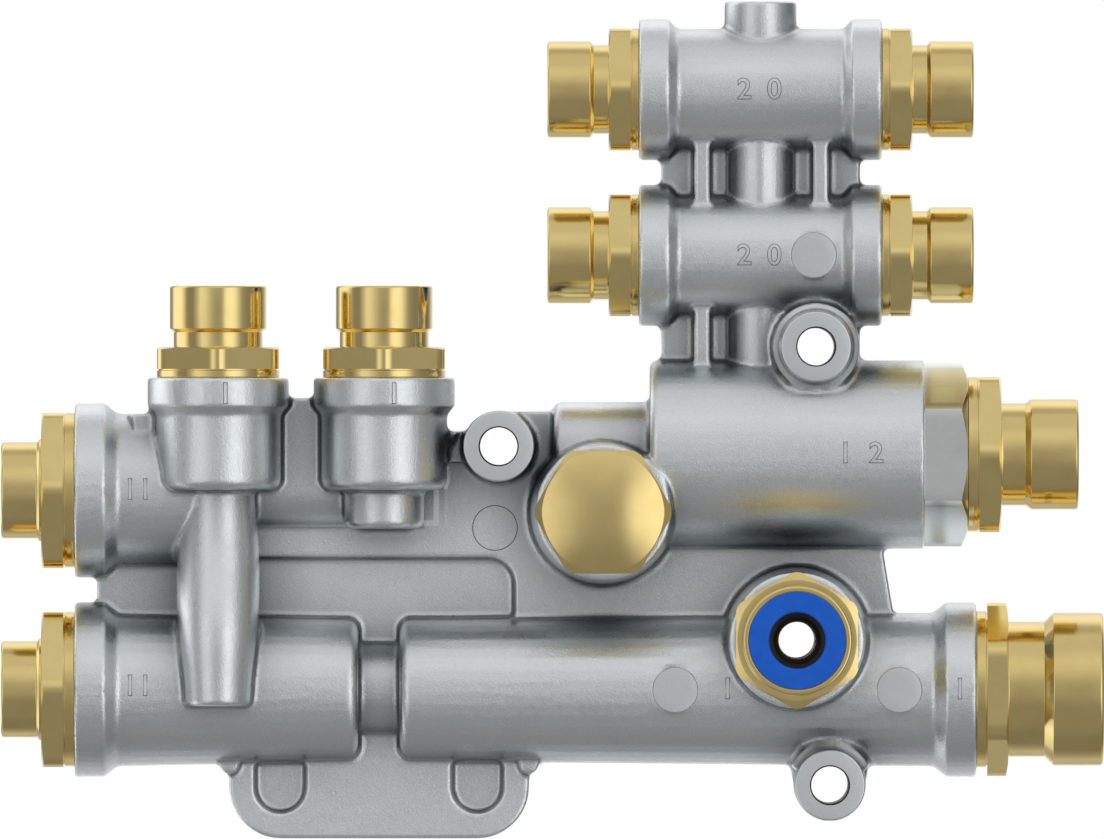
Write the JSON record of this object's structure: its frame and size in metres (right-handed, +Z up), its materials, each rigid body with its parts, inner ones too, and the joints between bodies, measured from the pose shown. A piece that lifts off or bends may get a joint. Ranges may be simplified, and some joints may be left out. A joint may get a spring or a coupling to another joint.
{
  "type": "multi-way valve",
  "caption": "Multi-way compressed-air valve: cast aluminium tube manifold with brass push-in tube fittings, a shuttle valve, check valves and mounting eyes.",
  "frame": {"origin": "axis of the middle mounting eye's bolt hole on the rear mounting plane", "axes": "+X along the long tubes towards the outlets, +Z up, -Y towards the front with the closing plug"},
  "size_m": [0.2468, 0.0788, 0.1874],
  "materials": {
    "cast_aluminium": "die cast, fine blasted grain",
    "turned_brass": "bright turned",
    "inner_brass": "turned",
    "blue_plastic": "moulded, satin",
    "machined_aluminium": "fine turned",
    "spring_steel": "polished",
    "white_plastic": "machined, satin",
    "black_rubber": "moulded, matt"
  },
  "bodies": {
    "housing": {"circlip": "spring_steel", "closing_plug": "turned_brass", "fitting_front": "turned_brass", "fitting_lower_inlet": "turned_brass", "fitting_lower_outlet": "turned_brass", "fitting_middle_left": "turned_brass", "fitting_middle_right": "turned_brass", "fitting_rear": "turned_brass", "fitting_top_left": "turned_brass", "fitting_top_right": "turned_brass", "fitting_upper_inlet": "turned_brass", "fitting_upper_outlet": "turned_brass", "fitting_upright_left": "turned_brass", "fitting_upright_right": "turned_brass", "grab_rings": "spring_steel", "housing": "cast_aluminium", "insert_seal": "black_rubber", "lower_check_spring": "spring_steel", "plug_seal": "black_rubber", "port_seals": "black_rubber", "retaining_collars": "inner_brass", "riser_ball": "spring_steel", "spring_retainer": "inner_brass", "tube_seals": "black_rubber", "upper_check_spring": "spring_steel", "valve_insert": "machined_aluminium"},
    "lower_check": {"lower_check_poppet": "inner_brass", "lower_check_seal": "black_rubber"},
    "release_ring_front": {"release_ring_front": "blue_plastic"},
    "release_ring_lower_inlet": {"release_ring_lower_inlet": "blue_plastic"},
    "release_ring_lower_outlet": {"release_ring_lower_outlet": "blue_plastic"},
    "release_ring_middle_left": {"release_ring_middle_left": "blue_plastic"},
    "release_ring_middle_right": {"release_ring_middle_right": "blue_plastic"},
    "release_ring_rear": {"release_ring_rear": "blue_plastic"},
    "release_ring_top_left": {"release_ring_top_left": "blue_plastic"},
    "release_ring_top_right": {"release_ring_top_right": "blue_plastic"},
    "release_ring_upper_inlet": {"release_ring_upper_inlet": "blue_plastic"},
    "release_ring_upper_outlet": {"release_ring_upper_outlet": "blue_plastic"},
    "release_ring_upright_left": {"release_ring_upright_left": "blue_plastic"},
    "release_ring_upright_right": {"release_ring_upright_right": "blue_plastic"},
    "shuttle": {"shuttle_discs": "black_rubber", "shuttle_guide_ring": "white_plastic", "shuttle_piston": "machined_aluminium"},
    "upper_check": {"upper_check_poppet": "inner_brass", "upper_check_seal": "black_rubber"}
  },
  "joints": [
    {"name": "release_top_left", "type": "slide", "parent": "housing", "child": "release_ring_top_left", "axis": [1, 0, 0], "range_m": [0, 0.0012], "stiffness_N_per_m": 400, "springref_m": -0.0005},
    {"name": "release_top_right", "type": "slide", "parent": "housing", "child": "release_ring_top_right", "axis": [-1, 0, 0], "range_m": [0, 0.0012], "stiffness_N_per_m": 400, "springref_m": -0.0005},
    {"name": "release_middle_left", "type": "slide", "parent": "housing", "child": "release_ring_middle_left", "axis": [1, 0, 0], "range_m": [0, 0.0012], "stiffness_N_per_m": 400, "springref_m": -0.0005},
    {"name": "release_middle_right", "type": "slide", "parent": "housing", "child": "release_ring_middle_right", "axis": [-1, 0, 0], "range_m": [0, 0.0012], "stiffness_N_per_m": 400, "springref_m": -0.0005},
    {"name": "release_upright_left", "type": "slide", "parent": "housing", "child": "release_ring_upright_left", "axis": [0, 0, -1], "range_m": [0, 0.0012], "stiffness_N_per_m": 400, "springref_m": -0.0005},
    {"name": "release_upright_right", "type": "slide", "parent": "housing", "child": "release_ring_upright_right", "axis": [0, 0, -1], "range_m": [0, 0.0012], "stiffness_N_per_m": 400, "springref_m": -0.0005},
    {"name": "release_upper_inlet", "type": "slide", "parent": "housing", "child": "release_ring_upper_inlet", "axis": [1, 0, 0], "range_m": [0, 0.0012], "stiffness_N_per_m": 400, "springref_m": -0.0005},
    {"name": "release_lower_inlet", "type": "slide", "parent": "housing", "child": "release_ring_lower_inlet", "axis": [1, 0, 0], "range_m": [0, 0.0012], "stiffness_N_per_m": 400, "springref_m": -0.0005},
    {"name": "release_upper_outlet", "type": "slide", "parent": "housing", "child": "release_ring_upper_outlet", "axis": [-1, 0, 0], "range_m": [0, 0.0012], "stiffness_N_per_m": 400, "springref_m": -0.0005},
    {"name": "release_lower_outlet", "type": "slide", "parent": "housing", "child": "release_ring_lower_outlet", "axis": [-1, 0, 0], "range_m": [0, 0.0012], "stiffness_N_per_m": 400, "springref_m": -0.0005},
    {"name": "release_front", "type": "slide", "parent": "housing", "child": "release_ring_front", "axis": [0, 1, 0], "range_m": [0, 0.0012], "stiffness_N_per_m": 400, "springref_m": -0.0005},
    {"name": "release_rear", "type": "slide", "parent": "housing", "child": "release_ring_rear", "axis": [0, -1, 0], "range_m": [0, 0.0012], "stiffness_N_per_m": 400, "springref_m": -0.0005},
    {"name": "shuttle_slide", "type": "slide", "parent": "housing", "child": "shuttle", "axis": [1, 0, 0], "range_m": [0, 0.0203]},
    {"name": "upper_check_lift", "type": "slide", "parent": "housing", "child": "upper_check", "axis": [0, -1, 0], "range_m": [0, 0.003], "stiffness_N_per_m": 400, "springref_m": -0.003, "deforming": ["upper_check_spring"]},
    {"name": "lower_check_lift", "type": "slide", "parent": "housing", "child": "lower_check", "axis": [1, 0, 0], "range_m": [0, 0.003], "stiffness_N_per_m": 400, "springref_m": -0.003, "deforming": ["lower_check_spring"]}
  ]
}
